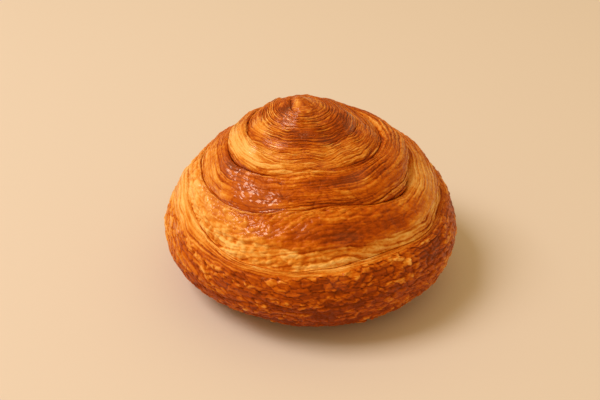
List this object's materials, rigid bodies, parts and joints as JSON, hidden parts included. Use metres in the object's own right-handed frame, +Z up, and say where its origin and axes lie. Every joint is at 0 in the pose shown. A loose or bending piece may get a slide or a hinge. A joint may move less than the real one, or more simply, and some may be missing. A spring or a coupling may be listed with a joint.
{
  "type": "spiral croissant bun",
  "caption": "Domed bun of laminated croissant dough, wound as a cone-shaped spiral coil with a flat foot, baked glossy golden brown.",
  "frame": {"origin": "middle of the flat foot, at the bottom centre of the bun's bounding box", "axes": "+Z up through the tip of the coil, -Y towards the side that faces the viewer in the picture"},
  "size_m": [0.1083, 0.1079, 0.0718],
  "materials": {
    "baked_crust": "egg-washed laminated crust, golden to deep red-brown, satin with glossy patches"
  },
  "bodies": {
    "root": {"spiral_croissant": "baked_crust"}
  },
  "joints": []
}
